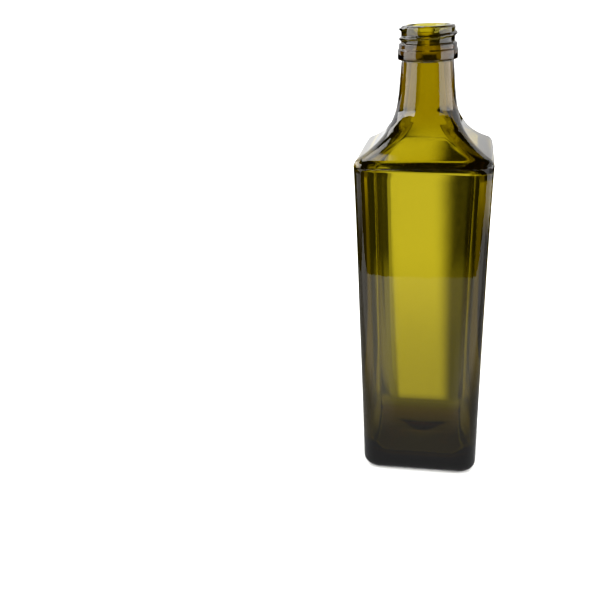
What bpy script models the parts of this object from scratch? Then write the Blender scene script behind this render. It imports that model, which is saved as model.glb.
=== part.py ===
"""An empty, uncapped glass bottle for olive oil: square, wider at the shoulder than at the base.

It is one blown and pressed glass body: a rounded square body, a concave shoulder with four hip
ridges, a round neck, a collar, a screw thread and an open mouth. Units are metres, +Z is up, and
the origin is the centre of the footprint, on the surface that the bottle stands on.
"""

import math

import bmesh
import bpy

MM = 0.001

# Overall sizes
HEIGHT = 255.0 * MM
BASE_WIDTH = 67.2 * MM
SHOULDER_WIDTH = 73.4 * MM
SHOULDER_TOP_Z = 190.3 * MM

# Body
VERTICAL_EDGE_RADIUS = 6.1 * MM
FLARE_SHARE = 0.3
FLARE_POWER = 4
SIDE_SHARES = (0.1, 0.22, 0.36, 0.5, 0.66, 0.79, 0.9, 1.0)
HEEL_RADIUS = 5.1 * MM
HEEL_CORNER_RADIUS = 10.2 * MM
HEEL_BLEND_SHARE = 0.6
FOOT_WIDTH = 4.0 * MM
PUSH_UP = 3.5 * MM
PUSH_UP_SHARES = (0.3, 0.6, 0.82, 1.0)
PUSH_UP_SQUARENESS = 0.85

# Shoulder and neck
SHOULDER_EDGE_RADIUS = 5.0 * MM
SHOULDER_EDGE_TURN = math.radians(57.0)
SHOULDER_RISE = 44.0 * MM
SHOULDER_POWER = 4.7
HIP_SOFTENING = 0.3
HIP_FADE_START = 12.0 * MM
HIP_FADE_END = 22.0 * MM
EDGE_CORNER_SHRINK = 0.3
NECK_TOP_RADIUS = 13.9 * MM
NECK_TAPER = 0.08
NECK_SHARES = (0.5,)
COLLAR_BOTTOM_Z = 237.7 * MM

# Collar, thread and mouth
COLLAR_RADIUS = 16.1 * MM
COLLAR_STEP_RADIUS = 15.5 * MM
COLLAR_STEP_Z = 243.4 * MM
COLLAR_TOP_Z = 246.2 * MM
COLLAR_ROUND = 0.8 * MM
THREAD_ROOT_RADIUS = 14.3 * MM
THREAD_DEPTH = 1.1 * MM
THREAD_WIDTH = 2.5 * MM
THREAD_CREST_SHARPNESS = 1.35
THREAD_PITCH = 5.0 * MM
THREAD_START_Z = 248.0 * MM
THREAD_START_ANGLE = math.radians(165.0)
THREAD_TURNS = 1.08
THREAD_RUN_OUT = math.radians(24.0)
ROOT_GAP = 0.3 * MM
LIP_ROUND = 1.3 * MM
LIP_INNER_STEP = 0.8 * MM
LIP_INNER_DROP = 0.9 * MM
BORE_RADIUS = 11.2 * MM
BORE_DEPTH_BELOW_COLLAR = 2.0 * MM

# Glass thickness
WALL = 2.9 * MM
NECK_WALL = 3.0 * MM
INSIDE_EDGE_RADIUS = 9.5 * MM
INSIDE_SHOULDER_RADIUS = 7.0 * MM
INSIDE_SHOULDER_DROP = 1.4 * MM
INSIDE_SIDE_SHARES = (0.0, 0.2, 0.5, 1.0)
INSIDE_HEEL_RADIUS = 8.0 * MM
INSIDE_HEEL_CORNER_RADIUS = 11.5 * MM
FLOOR_EDGE_Z = 8.0 * MM
FLOOR_RISE = 2.5 * MM
FLOOR_SHARES = (0.7, 0.35)
FLOOR_SQUARENESS = 0.6

# How finely the curves are cut
POINTS_AROUND = 48
ARC_WEIGHT = 10.0
ROUNDING_STEPS = 4
SHOULDER_SHARES = (0.03, 0.065, 0.105, 0.15, 0.2, 0.26, 0.32, 0.38, 0.44, 0.52, 0.65, 0.82, 1.0)
INSIDE_SHOULDER_SHARES = (0.04, 0.09, 0.15, 0.22, 0.3, 0.38, 0.46, 0.55, 0.75, 1.0)
THREAD_STEPS = 12
LIP_STEPS = 3

# Glass
GLASS_COLOUR = (0.40, 0.36, 0.03, 1.0)
GLASS_ROUGHNESS = 0.03
GLASS_IOR = 1.52
SHARP_ANGLE = math.radians(50.0)

QUARTER_TURN = math.pi / 2
FULL_TURN = 2 * math.pi


def smooth_step(value):
    """Eases a value between 0 and 1."""
    value = min(max(value, 0.0), 1.0)
    return value * value * (3 - 2 * value)


def section(half, corner, z):
    """The points of a square of the given half width with rounded corners, at one height.

    Most points go to the four corner arcs, and a corner as large as the half width is a circle.
    """
    flat = half - corner
    arc = corner * QUARTER_TURN
    length = 2 * flat + ARC_WEIGHT * arc
    quarter = POINTS_AROUND // 4
    points = []
    for index in range(POINTS_AROUND):
        side, step = divmod(index, quarter)
        along = length * step / quarter
        if along <= flat:
            x, y = half, along
        elif along >= length - flat:
            x, y = length - along, half
        else:
            turn = (along - flat) / (ARC_WEIGHT * corner)
            x, y = flat + corner * math.cos(turn), flat + corner * math.sin(turn)
        for _ in range(side):
            x, y = -y, x
        points.append((x, y, z))
    return points


def circle(radius, z):
    """The points of a round section."""
    return section(radius, radius, z)


def body_half(z):
    """Half the body's width at a height: a straight taper that flares near the shoulder."""
    share = (z - HEEL_RADIUS) / (SHOULDER_TOP_Z - HEEL_RADIUS)
    share = min(max(share, 0.0), 1.0)
    bend = (1 - FLARE_SHARE) * share + FLARE_SHARE * share**FLARE_POWER
    return (BASE_WIDTH + (SHOULDER_WIDTH - BASE_WIDTH) * bend) / 2


def neck_radius(z):
    """The neck's radius at a height, in line with its taper."""
    return NECK_TOP_RADIUS + NECK_TAPER * (COLLAR_BOTTOM_Z - z)


def shares(count):
    """Shares up to 1 in the given number of equal steps, without the 0 at the start."""
    return [step / count for step in range(1, count + 1)]


def underside():
    """From the middle of the hollow under the base to the outer edge of the flat foot."""
    foot_outer = BASE_WIDTH / 2 - HEEL_RADIUS
    foot_inner = foot_outer - FOOT_WIDTH
    foot_corner = HEEL_CORNER_RADIUS - HEEL_RADIUS
    loops = []
    for share in PUSH_UP_SHARES:
        half = foot_inner * share
        height = PUSH_UP * (1 + math.cos(math.pi * share)) / 2
        roundness = 1 - PUSH_UP_SQUARENESS * smooth_step(share)
        loops.append(section(half, half * roundness, height))
    loops.append(section(foot_outer, foot_corner, 0.0))
    return loops


def body():
    """The heel and the four flat sides, up to where the shoulder's edge begins to turn."""
    loops = []
    for share in shares(ROUNDING_STEPS):
        turn = QUARTER_TURN * share
        half = BASE_WIDTH / 2 - HEEL_RADIUS * (1 - math.sin(turn))
        corner = HEEL_CORNER_RADIUS - HEEL_RADIUS * (1 - math.sin(turn))
        loops.append(section(half, corner, HEEL_RADIUS * (1 - math.cos(turn))))
    top = SHOULDER_TOP_Z - SHOULDER_EDGE_RADIUS * math.sin(SHOULDER_EDGE_TURN)
    for share in SIDE_SHARES:
        z = HEEL_RADIUS + (top - HEEL_RADIUS) * share
        ease = smooth_step(share / HEEL_BLEND_SHARE)
        corner = HEEL_CORNER_RADIUS + (VERTICAL_EDGE_RADIUS - HEEL_CORNER_RADIUS) * ease
        loops.append(section(body_half(z), corner, z))
    return loops


def turned_edge(half, corner, top, radius):
    """The rounded edge between the sides and the shoulder, from its side to its last height."""
    loops = []
    for share in shares(ROUNDING_STEPS):
        turn = SHOULDER_EDGE_TURN * share
        inset = radius * (1 - math.cos(turn))
        z = top - radius * (math.sin(SHOULDER_EDGE_TURN) - math.sin(turn))
        loops.append(section(half - inset, corner - inset * EDGE_CORNER_SHRINK, z))
    return loops


def hip_roundness(first, rise):
    """The share of the half width that the corners take up at a height above the shoulder's edge.

    The four flat faces stay broad up to HIP_FADE_START, and are gone at HIP_FADE_END.
    """
    softened = HIP_SOFTENING * min(rise / HIP_FADE_START, 1.0)
    fade = smooth_step((rise - HIP_FADE_START) / (HIP_FADE_END - HIP_FADE_START))
    return first + (1 - first) * (softened + (1 - softened) * fade)


def concave_shoulder(half, corner, low, high, neck, steps):
    """From the shoulder's edge in to the round neck, hollow in profile, with a ridge at each hip.

    neck gives the radius that the shoulder closes in to at a height.
    """
    loops = []
    for share in steps:
        z = low + (high - low) * share
        width = neck(z) + (half - neck(low)) * (1 - share) ** SHOULDER_POWER
        loops.append(section(width, width * hip_roundness(corner / half, z - low), z))
    return loops


def collar():
    """The two-step band under the thread, with rounded edges."""
    profile = [
        (NECK_TOP_RADIUS, COLLAR_BOTTOM_Z - COLLAR_ROUND),
        (NECK_TOP_RADIUS + COLLAR_ROUND / 2, COLLAR_BOTTOM_Z),
        (COLLAR_RADIUS - COLLAR_ROUND, COLLAR_BOTTOM_Z),
        (COLLAR_RADIUS, COLLAR_BOTTOM_Z + COLLAR_ROUND),
        (COLLAR_RADIUS, COLLAR_STEP_Z - COLLAR_ROUND),
        (COLLAR_STEP_RADIUS, COLLAR_STEP_Z),
        (COLLAR_STEP_RADIUS, COLLAR_TOP_Z - COLLAR_ROUND),
        (COLLAR_STEP_RADIUS - COLLAR_ROUND, COLLAR_TOP_Z),
    ]
    return [circle(radius, z) for radius, z in profile]


def thread_relief(angle, z):
    """How far the screw thread stands out of its root at an angle round the mouth and a height."""
    relief = 0.0
    length = THREAD_TURNS * FULL_TURN
    for lap in range(3):
        travel = (angle - THREAD_START_ANGLE) % FULL_TURN + lap * FULL_TURN
        crest = THREAD_START_Z + THREAD_PITCH * travel / FULL_TURN
        beyond = max(travel - length, 0.0)
        fade = smooth_step(travel / THREAD_RUN_OUT) * (1 - smooth_step(beyond / THREAD_RUN_OUT))
        offset = abs(z - crest) / (THREAD_WIDTH / 2)
        bump = smooth_step(THREAD_CREST_SHARPNESS * (1 - offset))
        relief = max(relief, THREAD_DEPTH * bump * fade)
    return relief


def threaded_mouth():
    """The thread on its root, then the rounded lip, in to the edge of the bore."""
    loops = []
    low = COLLAR_TOP_Z + ROOT_GAP
    high = HEIGHT - LIP_ROUND
    for share in [0.0] + shares(THREAD_STEPS):
        z = low + (high - low) * share
        loop = []
        for x, y, _ in circle(1.0, z):
            radius = THREAD_ROOT_RADIUS + thread_relief(math.atan2(y, x), z)
            loop.append((x * radius, y * radius, z))
        loops.append(loop)
    for share in shares(LIP_STEPS):
        turn = QUARTER_TURN * share
        radius = THREAD_ROOT_RADIUS - LIP_ROUND * (1 - math.cos(turn))
        loops.append(circle(radius, high + LIP_ROUND * math.sin(turn)))
    loops.append(circle(BORE_RADIUS + LIP_INNER_STEP, HEIGHT))
    loops.append(circle(BORE_RADIUS, HEIGHT - LIP_INNER_DROP))
    return loops


def inside_neck(z):
    """The radius of the bore in the neck at a height."""
    return neck_radius(z) - NECK_WALL


def inside():
    """The cavity from the bore down to the floor, rounder at its edges than the outside."""
    loops = [circle(BORE_RADIUS, COLLAR_BOTTOM_Z + BORE_DEPTH_BELOW_COLLAR)]
    shoulder_low = SHOULDER_TOP_Z - INSIDE_SHOULDER_DROP
    shoulder_high = SHOULDER_TOP_Z + SHOULDER_RISE
    turned_in = INSIDE_SHOULDER_RADIUS * (1 - math.cos(SHOULDER_EDGE_TURN))
    top_half = body_half(shoulder_low) - WALL
    side_corner = INSIDE_EDGE_RADIUS + EDGE_CORNER_SHRINK * turned_in
    shoulder = concave_shoulder(
        top_half - turned_in,
        INSIDE_EDGE_RADIUS,
        shoulder_low,
        shoulder_high,
        inside_neck,
        INSIDE_SHOULDER_SHARES,
    )
    edge = turned_edge(top_half, side_corner, shoulder_low, INSIDE_SHOULDER_RADIUS)
    loops += shoulder[::-1] + edge[::-1]
    side_top = shoulder_low - INSIDE_SHOULDER_RADIUS * math.sin(SHOULDER_EDGE_TURN)
    side_low = FLOOR_EDGE_Z + INSIDE_HEEL_RADIUS
    for share in INSIDE_SIDE_SHARES:
        z = side_top + (side_low - side_top) * share
        loops.append(section(body_half(z) - WALL, side_corner, z))
    return loops + inside_floor(body_half(side_low) - WALL, side_low)


def inside_floor(low_half, side_low):
    """The cavity's rounded heel and the low dome of its floor."""
    loops = []
    for share in shares(ROUNDING_STEPS):
        turn = QUARTER_TURN * share
        inset = INSIDE_HEEL_RADIUS * (1 - math.cos(turn))
        z = side_low - INSIDE_HEEL_RADIUS * math.sin(turn)
        corner = INSIDE_HEEL_CORNER_RADIUS - EDGE_CORNER_SHRINK * inset
        loops.append(section(low_half - inset, corner, z))
    floor_half = low_half - INSIDE_HEEL_RADIUS
    for share in FLOOR_SHARES:
        half = floor_half * share
        rise = FLOOR_RISE * (1 + math.cos(math.pi * share)) / 2
        loops.append(section(half, half * (1 - FLOOR_SQUARENESS * share), FLOOR_EDGE_Z + rise))
    return loops


def all_loops():
    """Every section of the glass in order: the underside, up the outside and down the inside."""
    edge_half = body_half(SHOULDER_TOP_Z)
    inset = SHOULDER_EDGE_RADIUS * (1 - math.cos(SHOULDER_EDGE_TURN))
    shoulder_end = SHOULDER_TOP_Z + SHOULDER_RISE
    edge = turned_edge(edge_half, VERTICAL_EDGE_RADIUS, SHOULDER_TOP_Z, SHOULDER_EDGE_RADIUS)
    shoulder = concave_shoulder(
        edge_half - inset,
        VERTICAL_EDGE_RADIUS - EDGE_CORNER_SHRINK * inset,
        SHOULDER_TOP_Z,
        shoulder_end,
        neck_radius,
        SHOULDER_SHARES,
    )
    neck = []
    for share in NECK_SHARES:
        z = shoulder_end + (COLLAR_BOTTOM_Z - shoulder_end) * share
        neck.append(circle(neck_radius(z), z))
    return underside() + body() + edge + shoulder + neck + collar() + threaded_mouth() + inside()


def bridge(mesh, lower, upper):
    """A band of faces between two loops of vertices."""
    for index in range(POINTS_AROUND):
        after = (index + 1) % POINTS_AROUND
        mesh.faces.new((lower[index], lower[after], upper[after], upper[index]))


def close_with_fan(mesh, loop, height, facing_down):
    """Closes a loop with triangles to a point on the axis."""
    tip = mesh.verts.new((0.0, 0.0, height))
    for index in range(POINTS_AROUND):
        after = (index + 1) % POINTS_AROUND
        if facing_down:
            mesh.faces.new((tip, loop[after], loop[index]))
        else:
            mesh.faces.new((tip, loop[index], loop[after]))


def glass_material():
    """Olive green bottle glass with a fire-polished surface."""
    material = bpy.data.materials.new("olive_green_bottle_glass")
    material.use_nodes = True
    shader = material.node_tree.nodes["Principled BSDF"]
    shader.inputs["Base Color"].default_value = GLASS_COLOUR
    shader.inputs["Metallic"].default_value = 0.0
    shader.inputs["Roughness"].default_value = GLASS_ROUGHNESS
    shader.inputs["IOR"].default_value = GLASS_IOR
    shader.inputs["Transmission Weight"].default_value = 1.0
    return material


def build_bottle():
    """The bottle as one closed mesh, from the middle of its underside to its floor."""
    mesh = bmesh.new()
    loops = [[mesh.verts.new(point) for point in loop] for loop in all_loops()]
    close_with_fan(mesh, loops[0], PUSH_UP, facing_down=True)
    for lower, upper in zip(loops, loops[1:]):
        bridge(mesh, lower, upper)
    close_with_fan(mesh, loops[-1], FLOOR_EDGE_Z + FLOOR_RISE, facing_down=False)
    data = bpy.data.meshes.new("bottle")
    mesh.to_mesh(data)
    mesh.free()
    data.shade_smooth()
    data.set_sharp_from_angle(angle=SHARP_ANGLE)
    data.materials.append(glass_material())
    bottle = bpy.data.objects.new("bottle", data)
    bpy.context.scene.collection.objects.link(bottle)


def main():
    """Empties the scene and builds the bottle in it."""
    for leftover in list(bpy.data.objects):
        bpy.data.objects.remove(leftover, do_unlink=True)
    build_bottle()


main()
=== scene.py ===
"""An empty, uncapped square bottle of olive green glass on a pale table in soft studio light.

The bottle is one blown and pressed piece. Its outside and its inside are stacks of closed sections,
and this file cuts them much finer than the solid that they replace, from the same sizes, so that
refraction in the rounded edges, the hip ridges and the screw thread is clean. The inside departs
from the solid's in the neck, the shoulder and the floor, where the look of the glass asks for it.
Lengths are metres, and bearings are degrees.
"""

import logging
import math
from collections.abc import Callable
from dataclasses import dataclass, field
from enum import Enum

import bpy
from mathutils import Matrix, Vector


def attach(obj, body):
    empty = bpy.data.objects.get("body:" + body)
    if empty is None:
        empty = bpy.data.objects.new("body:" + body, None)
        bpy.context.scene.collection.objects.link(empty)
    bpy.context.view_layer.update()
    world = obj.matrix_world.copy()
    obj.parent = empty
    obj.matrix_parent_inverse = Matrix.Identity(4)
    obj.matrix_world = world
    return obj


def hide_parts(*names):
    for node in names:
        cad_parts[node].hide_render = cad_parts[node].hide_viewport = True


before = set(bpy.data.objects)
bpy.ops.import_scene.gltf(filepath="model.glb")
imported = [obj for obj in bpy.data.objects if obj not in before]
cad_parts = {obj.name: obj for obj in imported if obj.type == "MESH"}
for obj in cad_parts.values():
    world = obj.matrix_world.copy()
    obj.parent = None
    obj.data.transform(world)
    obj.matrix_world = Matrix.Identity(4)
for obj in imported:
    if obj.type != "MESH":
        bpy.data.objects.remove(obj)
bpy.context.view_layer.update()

LOG = logging.getLogger("olive_oil_bottle")
MM = 0.001
QUARTER_TURN = math.pi / 2
FULL_TURN = 2 * math.pi
SIDES = 4

# The sRGB curve: a straight foot, then a power.
SRGB_FOOT_END = 0.04045
SRGB_FOOT_SLOPE = 12.92
SRGB_OFFSET = 0.055
SRGB_POWER = 2.4

Point = tuple[float, float, float]
Loop = list[Point]
# Where a change starts, and how far it runs.
Span = tuple[float, float]


def linear(hex_colour: str) -> tuple[float, float, float, float]:
    """Turns an sRGB colour into the linear one that a shader takes.

    Args:
        hex_colour: six hexadecimal digits after a hash sign.

    Returns:
        Linear red, green and blue with an alpha of 1.
    """
    channels = []
    for start in (1, 3, 5):
        value = int(hex_colour[start : start + 2], 16) / 255
        low = value / SRGB_FOOT_SLOPE
        high = ((value + SRGB_OFFSET) / (1 + SRGB_OFFSET)) ** SRGB_POWER
        channels.append(low if value <= SRGB_FOOT_END else high)
    return (channels[0], channels[1], channels[2], 1.0)


def smooth_step(value: float) -> float:
    """Eases a value between 0 and 1.

    Args:
        value: any number; what lies outside 0 to 1 is held at the nearer end.

    Returns:
        The eased share.
    """
    value = min(max(value, 0.0), 1.0)
    return value * value * (3 - 2 * value)


def ramp(value: float, start: float, length: float) -> float:
    """Eases up from 0 at a start to 1 a length beyond it."""
    return smooth_step((value - start) / length)


def soft_edge(inside: float, width: float) -> float:
    """Eases from 0 to 1 across a line; the first number is the distance inside of it."""
    return smooth_step(inside / width + 0.5)


def shares(count: int, with_zero: bool = False) -> list[float]:
    """Shares up to 1 in equal steps.

    Args:
        count: how many steps.
        with_zero: whether the 0 at the start is wanted.

    Returns:
        The shares, the last of them 1.
    """
    return [step / count for step in range(0 if with_zero else 1, count + 1)]


def add_node(
    tree: bpy.types.NodeTree,
    kind: str,
    settings: dict[str, object] | None = None,
    links: dict[str | int, bpy.types.NodeSocket] | None = None,
) -> bpy.types.Node:
    """Adds one node, sets it and joins it to others.

    Args:
        tree: the node tree that takes the node.
        kind: Blender's name for the kind of node.
        settings: values by the name of an attribute or, failing that, of an input.
        links: output sockets of other nodes by the name or number of the input that they feed.

    Returns:
        The new node.
    """
    node = tree.nodes.new(kind)
    for name, value in (settings or {}).items():
        if hasattr(node, name):
            setattr(node, name, value)
        else:
            node.inputs[name].default_value = value
    for name, socket in (links or {}).items():
        tree.links.new(socket, node.inputs[name])
    return node


def new_tree(name: str) -> tuple[bpy.types.Material, bpy.types.NodeTree]:
    """Makes an empty material.

    Args:
        name: what the material is called.

    Returns:
        The material and its node tree, with no node in it.
    """
    material = bpy.data.materials.new(name)
    material.use_nodes = True
    material.node_tree.nodes.clear()
    return material, material.node_tree


@dataclass(frozen=True)
class BottleGlass:
    """Soda-lime container glass, blown and pressed in a mould, then fire-polished.

    The body of the colour comes from the depth of glass that light crosses: two walls read as a
    clear yellow green, and the thick edges, heel and floor as a deep olive brown. The fire polish
    gives a sharp gloss, and the mould and the gather leave a slow waviness that bends reflections.
    """

    body_colour: str = "#F0EA2F"
    colour_depth: float = 700.0
    ior: float = 1.52
    polish: float = 0.012
    haze: float = 0.035
    haze_from: float = 0.55
    haze_full: float = 0.8
    wave_mm: float = 16.0
    wave_detail: float = 1.0
    wave_roughness: float = 0.4
    wave_height_mm: float = 0.05
    orange_peel_mm: float = 3.0
    peel_detail: float = 2.0
    peel_height_mm: float = 0.002

    def build(self) -> bpy.types.Material:
        """Makes the glass.

        Returns:
            A material with a refracting surface and an absorbing volume.
        """
        material, tree = new_tree("olive_green_container_glass_fire_polished")
        place = add_node(tree, "ShaderNodeTexCoord")
        slow = add_node(
            tree,
            "ShaderNodeTexNoise",
            {
                "Scale": 1 / (self.wave_mm * MM),
                "Detail": self.wave_detail,
                "Roughness": self.wave_roughness,
            },
            {"Vector": place.outputs["Object"]},
        )
        peel = add_node(
            tree,
            "ShaderNodeTexNoise",
            {"Scale": 1 / (self.orange_peel_mm * MM), "Detail": self.peel_detail},
            {"Vector": place.outputs["Object"]},
        )
        wave_bump = add_node(
            tree,
            "ShaderNodeBump",
            {"Strength": 1.0, "Distance": self.wave_height_mm * MM},
            {"Height": slow.outputs["Fac"]},
        )
        peel_bump = add_node(
            tree,
            "ShaderNodeBump",
            {"Strength": 1.0, "Distance": self.peel_height_mm * MM},
            {"Height": peel.outputs["Fac"], "Normal": wave_bump.outputs["Normal"]},
        )
        dulling = add_node(
            tree,
            "ShaderNodeMapRange",
            {
                "From Min": self.haze_from,
                "From Max": self.haze_full,
                "To Min": self.polish,
                "To Max": self.haze,
            },
            {"Value": slow.outputs["Fac"]},
        )
        surface = add_node(
            tree,
            "ShaderNodeBsdfPrincipled",
            {
                "Base Color": (1.0, 1.0, 1.0, 1.0),
                "Metallic": 0.0,
                "IOR": self.ior,
                "Transmission Weight": 1.0,
            },
            {"Roughness": dulling.outputs["Result"], "Normal": peel_bump.outputs["Normal"]},
        )
        depth = add_node(
            tree,
            "ShaderNodeVolumeAbsorption",
            {"Color": linear(self.body_colour), "Density": self.colour_depth},
        )
        add_node(
            tree,
            "ShaderNodeOutputMaterial",
            links={"Surface": surface.outputs["BSDF"], "Volume": depth.outputs["Volume"]},
        )
        return material


@dataclass(frozen=True)
class SatinTableTop:
    """White laminate with a satin surface: even and pale, with a barely visible fine grain."""

    colour: str = "#F7F7F5"
    roughness: float = 0.6
    sheen_level: float = 0.2
    grain_mm: float = 2.0
    grain_detail: float = 2.0
    grain_height_mm: float = 0.02
    grain_strength: float = 0.2

    def build(self) -> bpy.types.Material:
        """Makes the table's finish.

        Returns:
            A pale diffuse material.
        """
        material, tree = new_tree("white_laminate_satin")
        place = add_node(tree, "ShaderNodeTexCoord")
        grain = add_node(
            tree,
            "ShaderNodeTexNoise",
            {"Scale": 1 / (self.grain_mm * MM), "Detail": self.grain_detail},
            {"Vector": place.outputs["Object"]},
        )
        bump = add_node(
            tree,
            "ShaderNodeBump",
            {"Strength": self.grain_strength, "Distance": self.grain_height_mm * MM},
            {"Height": grain.outputs["Fac"]},
        )
        surface = add_node(
            tree,
            "ShaderNodeBsdfPrincipled",
            {
                "Base Color": linear(self.colour),
                "Roughness": self.roughness,
                "Specular IOR Level": self.sheen_level,
            },
            {"Normal": bump.outputs["Normal"]},
        )
        add_node(tree, "ShaderNodeOutputMaterial", links={"Surface": surface.outputs["BSDF"]})
        return material


@dataclass(frozen=True)
class LitCard:
    """A card that a lamp lights: the light is painted on as glow and kept on the mesh, point by
    point.
    """

    colour: str = "#FFFFFF"
    glow_name: str = "glow"

    def build(self, name: str) -> bpy.types.Material:
        """Makes the card's finish.

        Args:
            name: what the material is called.

        Returns:
            A glowing material that reads how bright each point of the mesh is.
        """
        material, tree = new_tree(name)
        light = add_node(tree, "ShaderNodeAttribute", {"attribute_name": self.glow_name})
        glow = add_node(
            tree,
            "ShaderNodeEmission",
            {"Color": linear(self.colour)},
            {"Strength": light.outputs["Fac"]},
        )
        add_node(tree, "ShaderNodeOutputMaterial", links={"Surface": glow.outputs["Emission"]})
        return material


@dataclass
class Sections:
    """Cuts closed sections: squares with rounded corners, up to full circles."""

    points_around: int = 216
    arc_weight: float = 8.0

    def square(self, half: float, corner: float, z: float) -> Loop:
        """A square section with rounded corners.

        Args:
            half: half the section's width.
            corner: the radius of its corners; a corner as large as half gives a circle.
            z: its height.

        Returns:
            The points in order, most of them on the four arcs.
        """
        flat = half - corner
        length = 2 * flat + self.arc_weight * corner * QUARTER_TURN
        quarter = self.points_around // SIDES
        points: Loop = []
        for index in range(self.points_around):
            side, step = divmod(index, quarter)
            along = length * step / quarter
            if along <= flat:
                x, y = half, along
            elif along >= length - flat:
                x, y = length - along, half
            else:
                turn = (along - flat) / (self.arc_weight * corner)
                x, y = flat + corner * math.cos(turn), flat + corner * math.sin(turn)
            for _ in range(side):
                x, y = -y, x
            points.append((x, y, z))
        return points

    def circle(self, radius: float, z: float) -> Loop:
        """A round section of the given radius and height."""
        return self.square(radius, radius, z)


@dataclass
class Body:
    """The heel and the four flat sides, which widen from the base to the shoulder's edge."""

    cut: Sections
    base_width: float = 67.2 * MM
    shoulder_width: float = 73.4 * MM
    top_z: float = 190.3 * MM
    edge_radius: float = 6.1 * MM
    flare_share: float = 0.3
    flare_power: int = 4
    heel_radius: float = 5.1 * MM
    heel_corner: float = 10.2 * MM
    heel_blend: float = 0.6
    foot_width: float = 4.0 * MM
    push_up: float = 3.5 * MM
    push_up_squareness: float = 0.85
    turned_radius: float = 5.0 * MM
    turned_angle: float = math.radians(57.0)
    corner_shrink: float = 0.3
    push_up_rows: int = 24
    heel_rows: int = 14
    side_rows: int = 60
    edge_rows: int = 14

    def half(self, z: float) -> float:
        """Half the body's width at a height.

        Args:
            z: the height.

        Returns:
            Half the width, on a straight taper that flares near the shoulder.
        """
        share = (z - self.heel_radius) / (self.top_z - self.heel_radius)
        share = min(max(share, 0.0), 1.0)
        bend = (1 - self.flare_share) * share + self.flare_share * share**self.flare_power
        return (self.base_width + (self.shoulder_width - self.base_width) * bend) / 2

    def turned_inset(self, radius: float) -> float:
        """How far a rounded edge of this radius has turned in where it meets the shoulder."""
        return radius * (1 - math.cos(self.turned_angle))

    def underside(self) -> list[Loop]:
        """From the middle of the push-up to the outer edge of the flat foot.

        Returns:
            The sections in order.
        """
        foot_outer = self.base_width / 2 - self.heel_radius
        foot_inner = foot_outer - self.foot_width
        loops = []
        for share in shares(self.push_up_rows):
            half = foot_inner * share
            height = self.push_up * (1 + math.cos(math.pi * share)) / 2
            roundness = 1 - self.push_up_squareness * smooth_step(share)
            loops.append(self.cut.square(half, half * roundness, height))
        loops.append(self.cut.square(foot_outer, self.heel_corner - self.heel_radius, 0.0))
        return loops

    def sides(self) -> list[Loop]:
        """The heel and the sides, up to where the shoulder's edge begins to turn.

        Returns:
            The sections in order.
        """
        loops = []
        for share in shares(self.heel_rows):
            turn = QUARTER_TURN * share
            inset = self.heel_radius * (1 - math.sin(turn))
            z = self.heel_radius * (1 - math.cos(turn))
            loops.append(self.cut.square(self.base_width / 2 - inset, self.heel_corner - inset, z))
        top = self.top_z - self.turned_radius * math.sin(self.turned_angle)
        for share in shares(self.side_rows):
            z = self.heel_radius + (top - self.heel_radius) * share
            ease = smooth_step(share / self.heel_blend)
            corner = self.heel_corner + (self.edge_radius - self.heel_corner) * ease
            loops.append(self.cut.square(self.half(z), corner, z))
        return loops

    def turned_edge(self, half: float, corner: float, top: float, radius: float) -> list[Loop]:
        """The rounded edge between the sides and the shoulder.

        Args:
            half: half the width at its start.
            corner: the corner radius at its start.
            top: its last height.
            radius: the radius of the rounding.

        Returns:
            The sections in order.
        """
        loops = []
        for share in shares(self.edge_rows):
            turn = self.turned_angle * share
            inset = radius * (1 - math.cos(turn))
            z = top - radius * (math.sin(self.turned_angle) - math.sin(turn))
            loops.append(self.cut.square(half - inset, corner - inset * self.corner_shrink, z))
        return loops

    def outside(self) -> list[Loop]:
        """Every outer section of the body, from the push-up to the shoulder's edge.

        Returns:
            The sections in order.
        """
        half = self.half(self.top_z)
        edge = self.turned_edge(half, self.edge_radius, self.top_z, self.turned_radius)
        return self.underside() + self.sides() + edge


@dataclass(frozen=True)
class HipFade:
    """How the four hip ridges soften upwards until the section is a circle."""

    softening: float = 0.3
    start: float = 12.0 * MM
    end: float = 22.0 * MM

    def roundness(self, first: float, climb: float) -> float:
        """The share of the half width that the corners take up.

        Args:
            first: that share at the shoulder's edge.
            climb: the height above the shoulder's edge.

        Returns:
            The share, which is 1 where the shoulder has turned round.
        """
        softened = self.softening * min(climb / self.start, 1.0)
        fade = ramp(climb, self.start, self.end - self.start)
        return first + (1 - first) * (softened + (1 - softened) * fade)


@dataclass(frozen=True)
class HollowSides:
    """The curve of the shoulder's hollow sides: how high, how deep and how ridged they are."""

    rise: float = 44.0 * MM
    power: float = 4.7
    hips: HipFade = HipFade()
    rows: int = 60


def no_wall(_: float) -> float:
    """The wall to leave off the outside, which is none at any height."""
    return 0.0


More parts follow.
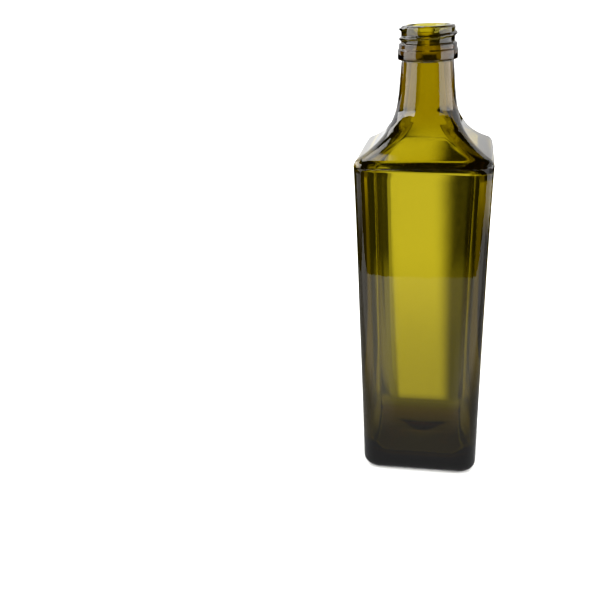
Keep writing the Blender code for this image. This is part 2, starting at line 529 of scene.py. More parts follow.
@dataclass
class Shoulder:
    """The hollow-sided pyramid from the body's edge in to the round neck, and the neck."""

    cut: Sections
    low_z: float = 190.3 * MM
    curve: HollowSides = HollowSides()
    neck_top_radius: float = 13.9 * MM
    neck_taper: float = 0.08
    neck_top_z: float = 237.7 * MM
    neck_rows: int = 12

    def neck_radius(self, z: float) -> float:
        """The neck's radius at a height, in line with its taper."""
        return self.neck_top_radius + self.neck_taper * (self.neck_top_z - z)

    def hollow_sides(
        self,
        half: float,
        corner: float,
        low: float,
        curve: HollowSides,
        wall: Callable[[float], float] = no_wall,
    ) -> list[Loop]:
        """The concave profile with a rounded ridge at each hip.

        Args:
            half: half the width at its start.
            corner: the corner radius at its start.
            low: its first height.
            curve: the form of the hollow sides.
            wall: the wall's thickness at a height, for the inside.

        Returns:
            The sections in order.
        """
        loops = []
        first = corner / half
        low_width = self.neck_radius(low) - wall(low)
        for share in shares(curve.rows):
            z = low + curve.rise * share
            neck = self.neck_radius(z) - wall(z)
            width = neck + (half - low_width) * (1 - share) ** curve.power
            roundness = curve.hips.roundness(first, z - low)
            loops.append(self.cut.square(width, width * roundness, z))
        return loops

    def outside(self, half: float, corner: float) -> list[Loop]:
        """The outer sections of the shoulder and the neck.

        Args:
            half: half the width where the body's edge ends.
            corner: the corner radius there.

        Returns:
            The sections in order.
        """
        loops = self.hollow_sides(half, corner, self.low_z, self.curve)
        start = self.low_z + self.curve.rise
        for share in shares(self.neck_rows)[:-1]:
            z = start + (self.neck_top_z - start) * share
            loops.append(self.cut.circle(self.neck_radius(z), z))
        return loops


@dataclass
class ScrewMouth:
    """The two-step collar, the right-handed thread and the rounded lip."""

    cut: Sections
    height: float = 255.0 * MM
    neck_radius: float = 13.9 * MM
    collar_low_z: float = 237.7 * MM
    collar_radius: float = 16.1 * MM
    step_radius: float = 15.5 * MM
    step_z: float = 243.4 * MM
    collar_top_z: float = 246.2 * MM
    collar_round: float = 0.8 * MM
    # The fillet under the collar, out and up, in shares of collar_round.
    fillet: tuple[tuple[float, float], ...] = ((0.0, -1.0), (0.15, -0.4), (0.5, 0.0))
    root_radius: float = 14.3 * MM
    thread_depth: float = 1.1 * MM
    thread_width: float = 2.5 * MM
    crest_sharpness: float = 1.35
    pitch: float = 5.0 * MM
    start_z: float = 248.0 * MM
    start_angle: float = math.radians(165.0)
    turns: float = 1.08
    run_out: float = math.radians(24.0)
    laps: int = 3
    root_gap: float = 0.3 * MM
    lip_round: float = 1.3 * MM
    lip_inner_step: float = 0.8 * MM
    lip_inner_drop: float = 0.9 * MM
    bore_radius: float = 11.2 * MM
    arc_rows: int = 6
    thread_rows: int = 44
    lip_rows: int = 8
    lip_inner_rows: int = 5

    def collar(self) -> list[Loop]:
        """The band under the thread.

        Returns:
            The sections in order, with small arcs at its edges.
        """
        small = self.collar_round
        profile = []
        for out, up in self.fillet:
            profile.append((self.neck_radius + out * small, self.collar_low_z + up * small))
        for share in shares(self.arc_rows, with_zero=True):
            turn = QUARTER_TURN * share
            radius = self.collar_radius - small * (1 - math.sin(turn))
            profile.append((radius, self.collar_low_z + small * (1 - math.cos(turn))))
        step = self.collar_radius - self.step_radius
        for share in shares(self.arc_rows, with_zero=True):
            ease = smooth_step(share)
            profile.append((self.collar_radius - step * ease, self.step_z - small * (1 - share)))
        for share in shares(self.arc_rows, with_zero=True):
            turn = QUARTER_TURN * share
            radius = self.step_radius - small * (1 - math.cos(turn))
            profile.append((radius, self.collar_top_z - small * (1 - math.sin(turn))))
        return [self.cut.circle(radius, z) for radius, z in profile]

    def relief(self, angle: float, z: float) -> float:
        """How far the thread stands out of its root.

        Args:
            angle: the direction round the mouth.
            z: the height.

        Returns:
            The height of the thread there.
        """
        tallest = 0.0
        length = self.turns * FULL_TURN
        for lap in range(self.laps):
            travel = (angle - self.start_angle) % FULL_TURN + lap * FULL_TURN
            crest = self.start_z + self.pitch * travel / FULL_TURN
            beyond = max(travel - length, 0.0)
            fade = smooth_step(travel / self.run_out) * (1 - smooth_step(beyond / self.run_out))
            offset = abs(z - crest) / (self.thread_width / 2)
            bump = smooth_step(self.crest_sharpness * (1 - offset))
            tallest = max(tallest, self.thread_depth * bump * fade)
        return tallest

    def thread_and_lip(self) -> list[Loop]:
        """The thread on its root, then the lip in to the bore.

        Returns:
            The sections in order.
        """
        loops = []
        low = self.collar_top_z + self.root_gap
        high = self.height - self.lip_round
        for share in shares(self.thread_rows, with_zero=True):
            z = low + (high - low) * share
            loop: Loop = []
            for x, y, _ in self.cut.circle(1.0, z):
                radius = self.root_radius + self.relief(math.atan2(y, x), z)
                loop.append((x * radius, y * radius, z))
            loops.append(loop)
        for share in shares(self.lip_rows):
            turn = QUARTER_TURN * share
            radius = self.root_radius - self.lip_round * (1 - math.cos(turn))
            loops.append(self.cut.circle(radius, high + self.lip_round * math.sin(turn)))
        for share in shares(self.lip_inner_rows, with_zero=True):
            turn = QUARTER_TURN * share
            radius = self.bore_radius + self.lip_inner_step * (1 - math.sin(turn))
            z = self.height - self.lip_inner_drop * (1 - math.cos(turn))
            loops.append(self.cut.circle(radius, z))
        return loops


@dataclass(frozen=True)
class Lean:
    """How the cavity's shoulder leans: it sits higher at the back and lower on the right."""

    back: float = 0.055
    right: float = -0.04
    start_z: float = 120.0 * MM
    full_z: float = 178.0 * MM
    end_z: float = 212.0 * MM

    def settle(self, loop: Loop) -> Loop:
        """Leans one level section.

        Args:
            loop: the section.

        Returns:
            The same section, raised on one side and lowered on the other.
        """
        z = loop[0][2]
        grown = ramp(z, self.start_z, self.full_z - self.start_z)
        left = 1 - ramp(z, self.full_z, self.end_z - self.full_z)
        share = min(grown, left)
        return [(x, y, up + share * (self.back * y + self.right * x)) for x, y, up in loop]


@dataclass
class Cavity:
    """The inside, rounder at its edges than the outside, down to the low dome of its floor."""

    cut: Sections
    body: Body
    shoulder: Shoulder
    mouth: ScrewMouth
    wall: float = 2.9 * MM
    neck_wall: float = 5.5 * MM
    thicker_from: float = 190.0 * MM
    thicker_to: float = 212.0 * MM
    bore_depth: float = 5.0 * MM
    edge_radius: float = 9.5 * MM
    shoulder_radius: float = 4.0 * MM
    shoulder_drop: float = 2.4 * MM
    heel_radius: float = 8.0 * MM
    heel_corner: float = 11.5 * MM
    floor_edge_z: float = 8.0 * MM
    floor_rise: float = 1.6 * MM
    floor_squareness: float = 0.6
    curve: HollowSides = HollowSides(hips=HipFade(start=16.0 * MM, end=26.0 * MM))
    lean: Lean = Lean()
    mouth_rows: int = 16
    neck_rows: int = 10
    side_rows: int = 50
    heel_rows: int = 14
    floor_rows: int = 20

    def thickness(self, z: float) -> float:
        """The wall's thickness on the shoulder and in the neck.

        Args:
            z: the height.

        Returns:
            The thickness, which grows from the shoulder up into the neck.
        """
        grown = ramp(z, self.thicker_from, self.thicker_to - self.thicker_from)
        return self.wall + (self.neck_wall - self.wall) * grown

    def upper(self) -> list[Loop]:
        """From the bore down through the neck and the shoulder.

        Returns:
            The sections in order.
        """
        bore_end = self.mouth.collar_low_z + self.bore_depth
        start = self.mouth.height - self.mouth.lip_inner_drop
        widest = self.mouth.bore_radius
        narrowest = self.shoulder.neck_radius(bore_end) - self.neck_wall
        loops = []
        for share in shares(self.mouth_rows):
            radius = widest + (narrowest - widest) * smooth_step(share)
            loops.append(self.cut.circle(radius, start + (bore_end - start) * share))
        low = self.body.top_z - self.shoulder_drop
        high = low + self.curve.rise
        for share in shares(self.neck_rows)[:-1]:
            z = bore_end + (high - bore_end) * share
            loops.append(self.cut.circle(self.shoulder.neck_radius(z) - self.neck_wall, z))
        inset = self.body.turned_inset(self.shoulder_radius)
        half = self.body.half(low) - self.wall
        hollow = self.shoulder.hollow_sides(
            half - inset, self.edge_radius, low, self.curve, self.thickness
        )
        corner = self.edge_radius + self.body.corner_shrink * inset
        edge = self.body.turned_edge(half, corner, low, self.shoulder_radius)
        return loops + hollow[::-1] + edge[::-1]

    def lower(self) -> list[Loop]:
        """From the top of the flat sides down to the floor.

        Returns:
            The sections in order.
        """
        loops = []
        corner = self.edge_radius
        corner += self.body.corner_shrink * self.body.turned_inset(self.shoulder_radius)
        top = self.body.top_z - self.shoulder_drop
        top -= self.shoulder_radius * math.sin(self.body.turned_angle)
        low = self.floor_edge_z + self.heel_radius
        for share in shares(self.side_rows, with_zero=True):
            z = top + (low - top) * share
            loops.append(self.cut.square(self.body.half(z) - self.wall, corner, z))
        half = self.body.half(low) - self.wall
        for share in shares(self.heel_rows):
            turn = QUARTER_TURN * share
            inset = self.heel_radius * (1 - math.cos(turn))
            z = low - self.heel_radius * math.sin(turn)
            round_off = self.heel_corner - self.body.corner_shrink * inset
            loops.append(self.cut.square(half - inset, round_off, z))
        floor = half - self.heel_radius
        for share in shares(self.floor_rows)[-2::-1]:
            rise = self.floor_rise * (1 + math.cos(math.pi * share)) / 2
            radius = floor * share
            round_off = radius * (1 - self.floor_squareness * share)
            loops.append(self.cut.square(radius, round_off, self.floor_edge_z + rise))
        return loops

    def inside(self) -> list[Loop]:
        """Every section of the inside from the bore to the floor, leaned where it leans."""
        return [self.lean.settle(loop) for loop in self.upper() + self.lower()]


@dataclass
class Bottle:
    """The whole bottle: one closed skin from the push-up, over the lip, to the floor inside."""

    glass: BottleGlass = BottleGlass()
    cut: Sections = field(default_factory=Sections)
    sharp_from: float = math.radians(60.0)

    def loops(self) -> tuple[list[Loop], float, float]:
        """All sections in order.

        Returns:
            The sections, and the heights of the first and the last point on the axis.
        """
        body = Body(self.cut)
        shoulder = Shoulder(self.cut)
        mouth = ScrewMouth(self.cut)
        cavity = Cavity(self.cut, body, shoulder, mouth)
        inset = body.turned_inset(body.turned_radius)
        sections = body.outside()
        sections += shoulder.outside(
            body.half(body.top_z) - inset, body.edge_radius - body.corner_shrink * inset
        )
        sections += mouth.collar() + mouth.thread_and_lip()
        sections += cavity.inside()
        return sections, body.push_up, cavity.floor_edge_z + cavity.floor_rise

    def skin(self) -> bpy.types.Mesh:
        """Joins the sections to a closed mesh.

        Returns:
            The mesh, facing out.
        """
        sections, first_tip, last_tip = self.loops()
        around = self.cut.points_around
        points: Loop = [point for loop in sections for point in loop]
        faces: list[tuple[int, ...]] = []
        for row in range(len(sections) - 1):
            low, high = row * around, (row + 1) * around
            for index in range(around):
                after = (index + 1) % around
                faces.append((low + index, low + after, high + after, high + index))
        last = (len(sections) - 1) * around
        points += [(0.0, 0.0, first_tip), (0.0, 0.0, last_tip)]
        for index in range(around):
            after = (index + 1) % around
            faces.append((len(points) - 2, after, index))
            faces.append((len(points) - 1, last + index, last + after))
        mesh = bpy.data.meshes.new("bottle_glass")
        mesh.from_pydata(points, [], faces)
        mesh.shade_smooth()
        mesh.set_sharp_from_angle(angle=self.sharp_from)
        mesh.validate()
        return mesh

    def build(self) -> bpy.types.Object:
        """Makes the bottle, dresses it and puts it in place of its solid.

        Returns:
            The finished piece.
        """
        piece = bpy.data.objects.new("bottle_glass", self.skin())
        bpy.context.scene.collection.objects.link(piece)
        piece.data.materials.append(self.glass.build())
        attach(piece, "root")
        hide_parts("bottle")
        return piece


class SeenBy(Enum):
    """Which rays meet a stage piece."""

    EYE = ("visible_camera", "visible_diffuse", "visible_shadow")
    REFLECTIONS = ("visible_glossy",)
    REFRACTIONS = ("visible_transmission",)


ALL_RAYS = (
    "visible_camera",
    "visible_diffuse",
    "visible_glossy",
    "visible_transmission",
    "visible_shadow",
    "visible_volume_scatter",
)


def level_grid(low: Point, high: Point, across: int, deep: int) -> list[Loop]:
    """Rows of points on a level rectangle.

    Args:
        low: its front left corner.
        high: its back right corner.
        across: how many steps from left to right.
        deep: how many steps from front to back.

    Returns:
        The rows from front to back.
    """
    rows = []
    for y_share in shares(deep, with_zero=True):
        y = low[1] + (high[1] - low[1]) * y_share
        row: Loop = []
        for x_share in shares(across, with_zero=True):
            row.append((low[0] + (high[0] - low[0]) * x_share, y, low[2]))
        rows.append(row)
    return rows


def ring(radius: float, z: float, steps: int) -> Loop:
    """Points round the bottle.

    Args:
        radius: their distance from its axis.
        z: their height.
        steps: how many steps make the full turn.

    Returns:
        The points, with the first one again at the end.
    """
    points: Loop = []
    for index in range(steps + 1):
        angle = FULL_TURN * index / steps
        points.append((radius * math.sin(angle), radius * math.cos(angle), z))
    return points


def arc(radius: float, first: float, last: float, steps: int) -> list[tuple[float, float]]:
    """Places on an arc round the bottle.

    Args:
        radius: their distance from its axis.
        first: the first bearing, from straight in front of the bottle to its right.
        last: the last bearing.
        steps: how many steps lie between them.

    Returns:
        The x and y of each place.
    """
    places = []
    for share in shares(steps, with_zero=True):
        angle = math.radians(first + (last - first) * share)
        places.append((radius * math.sin(angle), -radius * math.cos(angle)))
    return places


@dataclass
class StagePiece:
    """A piece of the studio: a sheet made of rows of points."""

    name: str
    seen_by: SeenBy

    def rows(self) -> list[Loop]:
        """The sheet's points, row after row, all rows as long."""
        raise NotImplementedError

    def dress(self, mesh: bpy.types.Mesh, points: Loop) -> None:
        """Gives the sheet its finish.

        Args:
            mesh: the sheet.
            points: its points in order.
        """
        raise NotImplementedError

    def build(self) -> bpy.types.Object:
        """Makes the sheet and dresses it.

        Returns:
            The piece, which only the rays that it is seen by meet.
        """
        rows = self.rows()
        across = len(rows[0])
        points = [point for row in rows for point in row]
        faces = []
        for row in range(len(rows) - 1):
            for index in range(across - 1):
                start = row * across + index
                faces.append((start, start + 1, start + across + 1, start + across))
        mesh = bpy.data.meshes.new(self.name)
        mesh.from_pydata(points, [], faces)
        self.dress(mesh, points)
        piece = bpy.data.objects.new(self.name, mesh)
        bpy.context.scene.collection.objects.link(piece)
        for ray in ALL_RAYS:
            setattr(piece, ray, ray in self.seen_by.value)
        return piece


@dataclass
class Floor(StagePiece):
    """The table that the bottle stands on, as the eye sees it."""

    name: str = "floor"
    seen_by: SeenBy = SeenBy.EYE
    reach: float = 30.0

    def rows(self) -> list[Loop]:
        """The table's four corners in two rows."""
        return level_grid((-self.reach, -self.reach, 0.0), (self.reach, self.reach, 0.0), 1, 1)

    def dress(self, mesh: bpy.types.Mesh, points: Loop) -> None:
        """Covers the table with laminate."""
        mesh.materials.append(SatinTableTop().build())


@dataclass
class Card(StagePiece):
    """A lit card that only glass sees."""

    seen_by: SeenBy = SeenBy.REFLECTIONS
    finish: str = "lit_card"

    def glow(self, point: Point) -> float:
        """How brightly a point of the card shines."""
        raise NotImplementedError

    def dress(self, mesh: bpy.types.Mesh, points: Loop) -> None:
        """Lights the card.

        Args:
            mesh: the card.
            points: its points in order.
        """
        lit = LitCard()
        mesh.materials.append(lit.build(self.finish))
        light = mesh.attributes.new(lit.glow_name, "FLOAT", "POINT")
        light.data.foreach_set("value", [self.glow(point) for point in points])


@dataclass(frozen=True)
class MainStrip:
    """The lit strip of table behind the bottle, a bright core with a dimmer fringe on its left."""

    bearing: float = 0.0
    left_pivot: float = 0.068
    fringe_offset: float = 0.022
    fringe_spread: float = 0.22
    fringe_share: float = 0.45
    core_offset: float = 0.0205
    core_spread: float = 0.1155
    right_pivot: float = 0.073
    right_offset: float = 0.0135
    right_narrowing: float = 0.035
    right_blur: float = 0.009
    right_blur_growth: float = 0.04
    first_level: float = 0.62
    brightening: Span = (0.05, 0.35)

    def light(self, side: float, ahead: float, blur: float) -> tuple[float, float]:
        """How the strip lights a place.

        Args:
            side: how far the place lies to the right of the strip's axis.
            ahead: how far it lies along the axis.
            blur: the width of the strip's soft edge there.

        Returns:
            The share of the place that lies in the strip, and how bright the strip is there.
        """
        beyond = ahead - self.left_pivot
        fringe = soft_edge(side + self.fringe_offset + self.fringe_spread * beyond, blur)
        core = soft_edge(side + self.core_offset + self.core_spread * beyond, blur)
        right = self.right_offset - self.right_narrowing * (ahead - self.right_pivot) - side
        inside = max(core, self.fringe_share * fringe)
        inside *= soft_edge(right, self.right_blur + self.right_blur_growth * ahead)
        rest = 1 - self.first_level
        return inside, self.first_level + rest * ramp(ahead, *self.brightening)


@dataclass(frozen=True)
class SideStrip:
    """A lit strip of table for one of the other ways in which the bottle can be looked through."""

    bearing: float
    start: float = 0.1
    level: float = 1.0
    near_share: float = 1.0
    half_width: float = 0.021
    spread: float = 0.12
    level_over: float = 0.1
    filling: Span = (0.45, 0.3)

    def light(self, side: float, ahead: float, blur: float) -> tuple[float, float]:
        """How the strip lights a place.

        Args:
            side: how far the place lies to the right of the strip's axis.
            ahead: how far it lies along the axis.
            blur: the width of the strip's soft edge there.

        Returns:
            The share of the place that lies in the strip, and how bright the strip is there.
        """
        half = self.half_width + self.spread * ahead
        level = self.level * ramp(ahead, self.start, self.level_over)
        level *= self.near_share + (1 - self.near_share) * ramp(ahead, *self.filling)
        return soft_edge(min(half + side, half - side), blur), level


@dataclass
class TableBehindGlass(Card):
    """The table as seen through the bottle, its light painted on as glow: lit strips that run out
    over painted shade.
    """

    name: str = "table_behind_glass"
    seen_by: SeenBy = SeenBy.REFRACTIONS
    finish: str = "lit_table_behind_glass"
    z: float = -0.0001
    # Rings of points: a few under the bottle, then fine ones, then wider and wider ones.
    inner_radii: tuple[float, ...] = (0.0005, 0.02, 0.03)
    fine_from: float = 0.036
    fine_step: float = 0.002
    fine_rings: int = 14
    ring_growth: float = 1.05
    reach: float = 3.1
    steps_around: int = 720
    # Each bearing runs from straight behind the bottle to its right.
    strips: tuple[MainStrip | SideStrip, ...] = (
        MainStrip(),
        SideStrip(45.0, start=0.85),
        SideStrip(90.0, near_share=0.2),
        SideStrip(135.0, near_share=0.2),
        SideStrip(180.0, level=0.5),
        SideStrip(225.0, near_share=0.2),
        SideStrip(270.0, near_share=0.2),
        SideStrip(315.0, start=0.85),
    )
    strip_blur: float = 0.004
    strip_blur_growth: float = 0.02
    # A faint spill of light close behind the bottle, stronger on the left.
    spill_left: Span = (-28.0, 5.0)
    spill_right: Span = (25.0, 5.0)
    spill_end: Span = (0.3, 0.1)
    spill_level_left: float = 0.2
    spill_level_right: float = 0.1
    # A dim pool of painted light on the right.
    patch_first: float = 46.0
    patch_last: float = 98.0
    patch_level: float = 0.35
    patch_start: Span = (0.42, 0.12)
    # The painted shade between the strips, the far table's painted light and the painted shadow
    # under the bottle.
    painted_shade_left: float = 0.05
    painted_shade_right: float = 0.02
    far: Span = (0.75, 0.4)
    far_level: float = 0.6
    far_behind: float = 0.3
    behind: Span = (8.0, 6.0)
    far_aside: float = 0.2
    aside: Span = (34.0, 10.0)
    far_strip_level: float = 0.85
    painted_shadow_edge: Span = (0.05, 0.02)
    painted_shadow_front: float = 0.03
    painted_shadow_back: float = 0.115
    painted_shadow_rise: Span = (0.004, 0.03)

    def rows(self) -> list[Loop]:
        """Rings round the bottle.

        Returns:
            The rings from the middle outwards.
        """
        radii = list(self.inner_radii)
        radii += [self.fine_from + self.fine_step * index for index in range(self.fine_rings)]
        while radii[-1] < self.reach:
            radii.append(radii[-1] * self.ring_growth)
        return [ring(radius, self.z, self.steps_around) for radius in radii]

    def strips_light(self, x: float, y: float) -> tuple[float, float]:
        """What all strips together give to a place.

        Args:
            x: its distance to the right of the bottle.
            y: its distance behind the bottle.

        Returns:
            The largest share that lies in one strip, and the brightest light that one gives.
        """
        share = 0.0
        brightest = 0.0
        for strip in self.strips:
            turn = math.radians(strip.bearing)
            ahead = x * math.sin(turn) + y * math.cos(turn)
            if ahead > 0:
                side = x * math.cos(turn) - y * math.sin(turn)
                blur = self.strip_blur + self.strip_blur_growth * ahead
                inside, level = strip.light(side, ahead, blur)
                share = max(share, inside)
                brightest = max(brightest, level * inside)
        return share, brightest

    def spill_and_patch(self, bearing: float, distance: float) -> float:
        """The faint light beside the strips.

        Args:
            bearing: the place's direction from straight behind the bottle to the right.
            distance: its distance from the bottle's axis.

        Returns:
            The brighter of the spill and the patch there.
        """
        spill = ramp(bearing, *self.spill_left) * (1 - ramp(bearing, *self.spill_right))
        spill *= 1 - ramp(distance, *self.spill_end)
        spill *= self.spill_level_left if bearing < 0 else self.spill_level_right
        patch = 0.0
        if self.patch_first < bearing < self.patch_last:
            patch = self.patch_level * ramp(distance, *self.patch_start)
        return max(spill, patch)

    def glow(self, point: Point) -> float:
        """How bright the table is, as seen through the bottle.

        Args:
            point: a point of the table.

        Returns:
            Its glow: lit strips with painted shade between them, a brighter far table, and painted
                shadow under the bottle.
        """
        x, y, _ = point
        distance = math.hypot(x, y)
        bearing = math.degrees(math.atan2(x, y))
        share, brightest = self.strips_light(x, y)
        brightest = max(brightest, self.spill_and_patch(bearing, distance))
        # Painted shade where no strip lights the table, darker on the right.
        painted_shade = self.painted_shade_left if x < 0 else self.painted_shade_right
        # The far table's painted light, brighter straight behind the bottle and dimmer aside.
        far_table = self.far_level + self.far_behind * (1 - ramp(abs(bearing), *self.behind))
        far_table -= self.far_aside * ramp(abs(bearing), *self.aside)
        far_table = max(far_table, self.far_strip_level * share)
        far = ramp(distance, *self.far)
        value = (painted_shade + (1 - painted_shade) * brightest) * (1 - far) + far_table * far
        # Painted shadow under the bottle, lighter towards the back.
        under = self.painted_shadow_front + self.painted_shadow_back * ramp(y, *self.painted_shadow_rise)
        clear = ramp(max(abs(x), abs(y)), *self.painted_shadow_edge)
        return value * clear + under * (1 - clear)


@dataclass
class RoomBehindGlass(Card):
    """The dim room as seen through the bottle, its light painted on as glow, with a bright band at
    the horizon and brighter walls beside.
    """

    name: str = "room_behind_glass"
    seen_by: SeenBy = SeenBy.REFRACTIONS
    finish: str = "dim_room_behind_glass"
    radius: float = 3.0
    low_angle: float = -4.0
    high_angle: float = 90.0
    ring_steps: int = 94
    steps_around: int = 180
    top_gap: float = 0.0001
    horizon_top: Span = (0.5, 3.5)
    wall_level: float = 0.8
    wall_side: Span = (9.0, 5.0)
    wall_top: Span = (13.0, 7.0)
    level: float = 0.6
    behind_level: float = 0.3
    behind: Span = (8.0, 6.0)
    darkest: float = 0.01

    def rows(self) -> list[Loop]:
        """Rings round the bottle.

        Returns:
            The rings from just below the table's level up to the top of the dome.
        """
        rings = []
        for share in shares(self.ring_steps, with_zero=True):
            rise = math.radians(self.low_angle + (self.high_angle - self.low_angle) * share)
            flat = self.radius * math.cos(rise) + self.top_gap
            rings.append(ring(flat, self.radius * math.sin(rise), self.steps_around))
        return rings

    def glow(self, point: Point) -> float:
        """How bright the room is, as seen through the bottle.

        Args:
            point: a point of the dome.

        Returns:
            Its glow.
        """
        height = math.degrees(math.atan2(point[2], math.hypot(point[0], point[1])))
        aside = abs(math.degrees(math.atan2(point[0], point[1])))
        horizon = 1 - ramp(height, *self.horizon_top)
        wall = self.wall_level * ramp(aside, *self.wall_side) * (1 - ramp(height, *self.wall_top))
        level = self.level + self.behind_level * (1 - ramp(aside, *self.behind))
        return level * max(horizon, wall) + self.darkest


@dataclass
class TableInReflections(Card):
    """The table in front of the bottle as the glass reflects it, painted as glow, with a dimmer
    strip of painted shade and painted shade close to the bottle.
    """

    name: str = "table_in_reflections"
    finish: str = "lit_table_in_reflections"
    front_left: Point = (-0.35, -0.34, -0.0001)
    back_right: Point = (0.45, 0.15, -0.0001)
    steps_across: int = 200
    steps_deep: int = 60
    # A strip of painted shade runs out in front of the bottle, and close to the bottle the table is
    # painted dim as well.
    strip_from: float = 0.034
    strip_left: float = 0.017
    left_spread: float = 0.08
    strip_right: float = 0.016
    right_spread: float = 0.05
    strip_blur: float = 0.012
    bright: float = 1.2
    strip_level: float = 0.35
    near_shade_level: float = 0.4
    near_end: Span = (0.03, 0.1)

    def rows(self) -> list[Loop]:
        """A fine grid on the table."""
        return level_grid(self.front_left, self.back_right, self.steps_across, self.steps_deep)

    def glow(self, point: Point) -> float:
        """How bright the table is in reflections.

        Args:
            point: a point of the table.

        Returns:
            Its glow.
        """
        x, y, _ = point
        ahead = -self.strip_from - y
        left = x + self.strip_left + self.left_spread * ahead
        right = self.strip_right + self.right_spread * ahead - x
        inside = soft_edge(min(left, right), self.strip_blur)
        value = self.bright + (self.strip_level - self.bright) * inside
        return value + (self.near_shade_level - value) * (1 - ramp(ahead, *self.near_end))


@dataclass
class UprightCard(Card):
    """An upright card, curved round the bottle."""

    bearing: float = 0.0
    width: float = 60.0
    radius: float = 0.9
    low: float = -0.24
    high: float = 1.1
    steps_across: int = 8
    steps_up: int = 60

    def rows(self) -> list[Loop]:
        """The card's points from its foot to its top.

        Returns:
            Level rows, each from the first end of the arc to the last.
        """
        half = self.width / 2
        places = arc(self.radius, self.bearing - half, self.bearing + half, self.steps_across)
        rows = []
        for share in shares(self.steps_up, with_zero=True):
            z = self.low + (self.high - self.low) * share
            rows.append([(x, y, z) for x, y in places])
        return rows


@dataclass
class SoftBox(UprightCard):
    """A tall soft box beside the bottle, whose brightness changes from its foot to its top."""

    foot_level: float = 1.0
    middle_level: float = 3.5
    top_level: float = 1.0
    above_foot: Span = (0.0, 0.15)
    to_top: Span = (0.35, 0.15)
    lower_edge: Span = (-0.2, 0.12)

    def glow(self, point: Point) -> float:
        """How bright the soft box is.

        Args:
            point: a point of its front.

        Returns:
            Its glow.
        """
        z = point[2]
        value = self.foot_level
        value += (self.middle_level - self.foot_level) * ramp(z, *self.above_foot)
        value += (self.top_level - self.middle_level) * ramp(z, *self.to_top)
        return value * ramp(z, *self.lower_edge)


@dataclass
class SoftBoxLeft(SoftBox):
    """The soft box on the left, far brighter towards its top."""

    name: str = "soft_box_left"
    finish: str = "soft_box_left_front"
    bearing: float = -70.0
    width: float = 56.0
    top_level: float = 6.5


@dataclass
class SoftBoxRight(SoftBox):
    """The wider soft box on the right, brightest at its middle."""

    name: str = "soft_box_right"
    finish: str = "soft_box_right_front"
    bearing: float = 85.0
    width: float = 66.0
    foot_level: float = 2.2


@dataclass
class HipLight(UprightCard):
    """A soft box high behind the bottle on the left, which lights the ridge of a hip."""

    name: str = "soft_box_hip"
    finish: str = "soft_box_hip_front"
    bearing: float = -113.0
    # Below zero, so that the arc runs from its front end to its back end.
    width: float = -34.0
    low: float = 0.4
    steps_across: int = 17
    steps_up: int = 20
    level: float = 5.5
    lower_edge: Span = (0.4, 0.08)

    def glow(self, point: Point) -> float:
        """How bright the light is, with a soft lower edge."""
        return self.level * ramp(point[2], *self.lower_edge)


@dataclass
class OverheadLeft(Card):
    """A level light over the table behind the bottle on the left."""

    name: str = "overhead_left"
    finish: str = "overhead_left_front"
    front_left: Point = (-0.45, 0.04, 1.0)
    back_right: Point = (-0.04, 0.8, 1.0)
    steps: int = 60
    level: float = 3.6
    edge_x: float = -0.17
    edge_shift: float = 0.05
    shift: Span = (0.06, 0.1)
    edge_blur: float = 0.04
    front_blur: float = 0.05

    def rows(self) -> list[Loop]:
        """A level grid."""
        return level_grid(self.front_left, self.back_right, self.steps, self.steps)

    def glow(self, point: Point) -> float:
        """How bright the light is.

        Args:
            point: a point of it.

        Returns:
            Its glow, which fades out on the right and towards the front.
        """
        x, y, _ = point
        edge = self.edge_x + self.edge_shift * ramp(y, *self.shift)
        fade = 1 - ramp(x, edge, self.edge_blur)
        return self.level * fade * ramp(y, self.front_left[1], self.front_blur)


@dataclass
class Backdrop(Card):
    """The pale backdrop as the glass reflects it."""

    name: str = "backdrop_in_reflections"
    finish: str = "lit_backdrop"
    radius: float = 1.6
    first: float = 120.0
    middle: float = 180.0
    last: float = 240.0
    steps: int = 60
    low: float = 0.14
    high: float = 1.6
    # Beside the middle it reaches lower.
    deep_low: float = -0.1
    deep_from: float = 9.0
    deep_to: float = 30.0
    left_level: float = 1.25
    right_level: float = 0.9

    def rows(self) -> list[Loop]:
        """An upright curved sheet.

        Returns:
            Its lower and its upper edge.
        """
        low_row: Loop = []
        high_row: Loop = []
        places = arc(self.radius, self.first, self.last, self.steps)
        for (x, y), share in zip(places, shares(self.steps, with_zero=True)):
            aside = abs(self.first + (self.last - self.first) * share - self.middle)
            deep = self.deep_from < aside < self.deep_to
            low_row.append((x, y, self.deep_low if deep else self.low))
            high_row.append((x, y, self.high))
        return [low_row, high_row]

    def glow(self, point: Point) -> float:
        """How bright the backdrop is on either side."""
        return self.left_level if point[0] < 0 else self.right_level


@dataclass(frozen=True)
class StudioAir:
    """White air for the eye and the floor, and none for the glass, which sees the cards."""

    colour: str = "#FFFFFF"
    eye_level: float = 1.0
    floor_level: float = 2.4

    def build(self) -> None:
        """Makes the world."""
        world = bpy.data.worlds.new("studio_air")
        world.use_nodes = True
        tree = world.node_tree
        tree.nodes.clear()
        rays = add_node(tree, "ShaderNodeLightPath")
        skies = []
        for level in (self.eye_level, self.floor_level, 0.0):
            settings = {"Color": linear(self.colour), "Strength": level}
            skies.append(add_node(tree, "ShaderNodeBackground", settings))
        eye, fill, dark = skies
        on_floor = add_node(
            tree,
            "ShaderNodeMixShader",
            links={0: rays.outputs["Is Diffuse Ray"], 1: dark.outputs[0], 2: fill.outputs[0]},
        )
        final = add_node(
            tree,
            "ShaderNodeMixShader",
            links={0: rays.outputs["Is Camera Ray"], 1: on_floor.outputs[0], 2: eye.outputs[0]},
        )
        add_node(tree, "ShaderNodeOutputWorld", links={"Surface": final.outputs[0]})
        bpy.context.scene.world = world


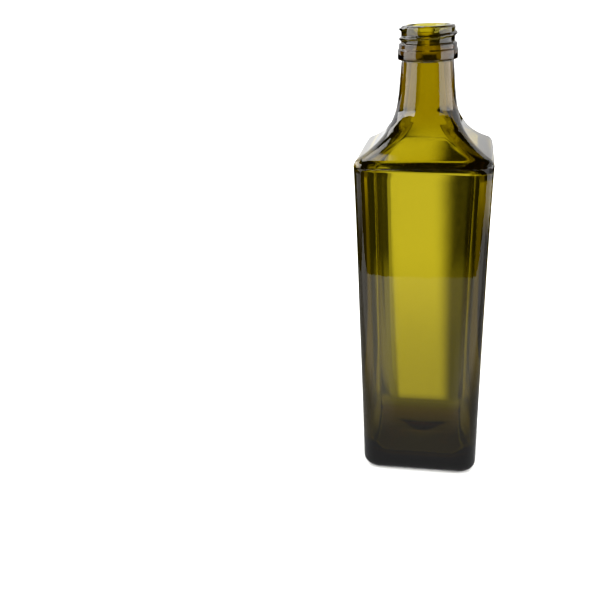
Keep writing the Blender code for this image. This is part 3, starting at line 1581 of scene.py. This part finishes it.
@dataclass(frozen=True)
class PhotoCamera:
    """The camera at the photograph's angle, in front of the bottle and above it."""

    distance: float = 461.0 * MM
    height: float = 285.9 * MM
    turn: float = 0.04952
    yaw_offset: float = 0.16066
    pitch: float = 0.38397
    roll: float = -0.04387
    focal_px: float = 824.19
    frame_px: float = 600.0
    sensor_mm: float = 36.0
    clip_start: float = 0.01

    def build(self) -> bpy.types.Object:
        """Makes the camera and looks through it.

        Returns:
            The camera.
        """
        data = bpy.data.cameras.new("camera")
        data.sensor_width = self.sensor_mm
        data.lens = self.focal_px / self.frame_px * self.sensor_mm
        data.clip_start = self.clip_start
        camera = bpy.data.objects.new("camera", data)
        bpy.context.scene.collection.objects.link(camera)
        yaw = self.turn + self.yaw_offset
        flat = math.cos(self.pitch)
        ahead = Vector((-math.sin(yaw) * flat, math.cos(yaw) * flat, -math.sin(self.pitch)))
        level = Vector((math.cos(yaw), math.sin(yaw), 0.0))
        above = level.cross(ahead)
        right = math.cos(self.roll) * level + math.sin(self.roll) * above
        up = -math.sin(self.roll) * level + math.cos(self.roll) * above
        pose = Matrix((right, up, -ahead)).transposed().to_4x4()
        x, y = self.distance * math.sin(self.turn), -self.distance * math.cos(self.turn)
        pose.translation = Vector((x, y, self.height))
        camera.matrix_world = pose
        bpy.context.scene.camera = camera
        return camera


def set_light_paths() -> None:
    """Light paths deep enough for four walls of glass, and an even tone scale."""
    scene = bpy.context.scene
    scene.view_settings.view_transform = "Standard"
    scene.view_settings.look = "None"
    scene.cycles.max_bounces = 32
    scene.cycles.transmission_bounces = 28
    scene.cycles.glossy_bounces = 16
    scene.cycles.transparent_max_bounces = 16
    scene.cycles.use_denoising = True
    scene.cycles.caustics_refractive = True
    scene.cycles.caustics_reflective = True
    scene.cycles.blur_glossy = 0.0


def main() -> None:
    """Builds the bottle and then the studio round it, and reports each piece."""
    logging.basicConfig(level=logging.INFO, format="%(name)s: %(message)s")
    tables = [Floor(), TableBehindGlass(), RoomBehindGlass(), TableInReflections()]
    lights = [SoftBoxLeft(), SoftBoxRight(), HipLight(), OverheadLeft(), Backdrop()]
    for maker in [Bottle(), *tables, *lights]:
        piece = maker.build()
        LOG.info("%s with %d faces", piece.name, len(piece.data.polygons))
    StudioAir().build()
    camera = PhotoCamera().build()
    LOG.info("%s with a lens of %.1f mm", camera.name, camera.data.lens)
    set_light_paths()


if __name__ == "__main__":
    main()
